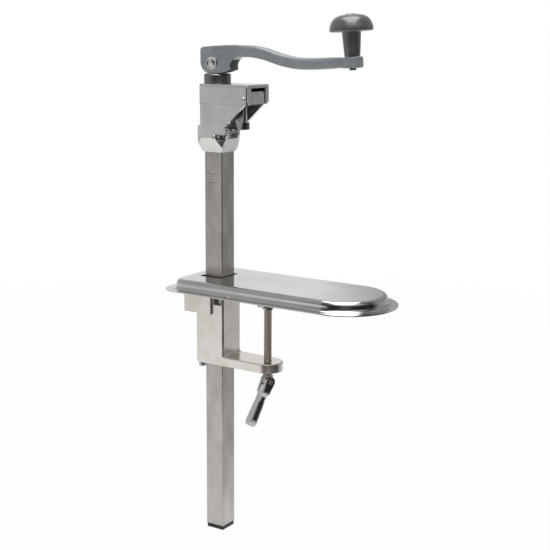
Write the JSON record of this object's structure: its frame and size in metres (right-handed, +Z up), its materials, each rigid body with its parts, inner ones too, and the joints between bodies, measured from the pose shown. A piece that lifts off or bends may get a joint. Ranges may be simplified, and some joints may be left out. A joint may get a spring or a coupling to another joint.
{
  "type": "manual can opener",
  "caption": "Table-clamped manual can opener: square sliding bar, oval can tray, screw clamp, cam-lift crank over a geared drive wheel and cutting disc.",
  "frame": {"origin": "on the clamp screw's axis, in the plane of the seat that rests on the table top", "axes": "+Z up along the bar and the clamp screw, +X from the bar towards the can side of the tray, +Y across the tray"},
  "size_m": [0.294, 0.125, 0.6562],
  "materials": {
    "polished": "bright polished stainless sheet",
    "plated": "satin nickel-plated casting",
    "plated_warm": "satin nickel-plated casting, warmer tone",
    "zinc": "bright zinc-plated fasteners",
    "nylon": "bluish nylon",
    "brushed": "stainless square tube, drawn finish",
    "black": "black moulded plug and inlays",
    "screw_steel": "oiled bare steel thread",
    "chrome": "bright chrome plating",
    "blackened": "blackened steel",
    "hard_steel": "hardened tool steel, ground",
    "bush_paint": "dark grey painted bush",
    "crank_paint": "grey-blue gloss paint on a casting",
    "knob_plastic": "dark grey moulded knob"
  },
  "bodies": {
    "stand": {"tray": "polished", "base_plate": "plated", "clamp_body": "plated_warm", "leg_screws": "zinc", "block_screws": "zinc", "guide_liner": "nylon"},
    "pad": {"clamp_pad": "plated"},
    "screw": {"clamp_screw": "screw_steel"},
    "handle": {"handle_fork": "chrome", "handle_inlays": "black", "handle_pin": "blackened"},
    "head": {"bar": "brushed", "bar_plug": "black", "bar_socket": "plated", "socket_screw": "zinc", "fork_bolt": "zinc", "disc_axle": "hard_steel", "head_body": "plated", "nose_frame": "plated", "nose_pins": "zinc", "spindle_bush": "bush_paint"},
    "disc": {"cutting_disc": "hard_steel"},
    "carriage": {"carriage": "plated", "carriage_cover": "plated", "rim_guide": "hard_steel", "guide_screw": "zinc", "idler_axle": "hard_steel"},
    "idler": {"idler_gear": "hard_steel"},
    "drive": {"drive_wheel": "hard_steel", "wheel_screw": "zinc"},
    "spindle": {"spindle": "hard_steel"},
    "crank": {"crank": "crank_paint", "crank_pin": "chrome", "knob_bolt": "blackened"},
    "knob": {"knob": "knob_plastic"}
  },
  "joints": [
    {"name": "bar_slide", "type": "slide", "parent": "stand", "child": "head", "axis": [0, 0, 1], "range_m": [-0.15, 0.2]},
    {"name": "carriage_slide", "type": "slide", "parent": "head", "child": "carriage", "axis": [0, 0, 1], "range_m": [0, 0.0042]},
    {"name": "spindle_spin", "type": "hinge", "parent": "carriage", "child": "spindle", "pos_m": [-0.075, 0, 0.24], "axis": [0, 0, 1], "continuous": true},
    {"name": "idler_spin", "type": "hinge", "parent": "carriage", "child": "idler", "pos_m": [-0.0565, 0, 0.24], "axis": [0, 0, 1], "continuous": true},
    {"name": "wheel_spin", "type": "hinge", "parent": "carriage", "child": "drive", "pos_m": [-0.038, 0, 0.24], "axis": [0, 0, 1], "continuous": true},
    {"name": "disc_spin", "type": "hinge", "parent": "head", "child": "disc", "pos_m": [-0.0551, 0, 0.196], "axis": [0, 0, 1], "continuous": true},
    {"name": "crank_lift", "type": "hinge", "parent": "spindle", "child": "crank", "pos_m": [-0.075, 0, 0.2765], "axis": [0, -1, 0], "range_deg": [0, 90.01]},
    {"name": "knob_spin", "type": "hinge", "parent": "crank", "child": "knob", "pos_m": [0.113, 0, 0.2803], "axis": [-0.0698, 0, 0.9976], "continuous": true},
    {"name": "pad_slide", "type": "slide", "parent": "stand", "child": "pad", "axis": [0, 0, 1], "range_m": [-0.06, 0.005]},
    {"name": "screw_turn", "type": "hinge", "parent": "pad", "child": "screw", "pos_m": [0, 0, -0.06], "axis": [0, 0, 1], "range_deg": [-10800.1, 900.1]},
    {"name": "handle_fold", "type": "hinge", "parent": "screw", "child": "handle", "pos_m": [0, 0, -0.1127], "axis": [0.9272, -0.3746, 0], "range_deg": [-63, 117]}
  ],
  "couplings": [
    {"joint": "crank_lift", "follows": "carriage_slide", "rad_per_m": 374},
    {"joint": "idler_spin", "follows": "spindle_spin", "ratio": -0.6087},
    {"joint": "wheel_spin", "follows": "spindle_spin", "ratio": 1},
    {"joint": "screw_turn", "follows": "pad_slide", "rad_per_m": 3141.6}
  ]
}
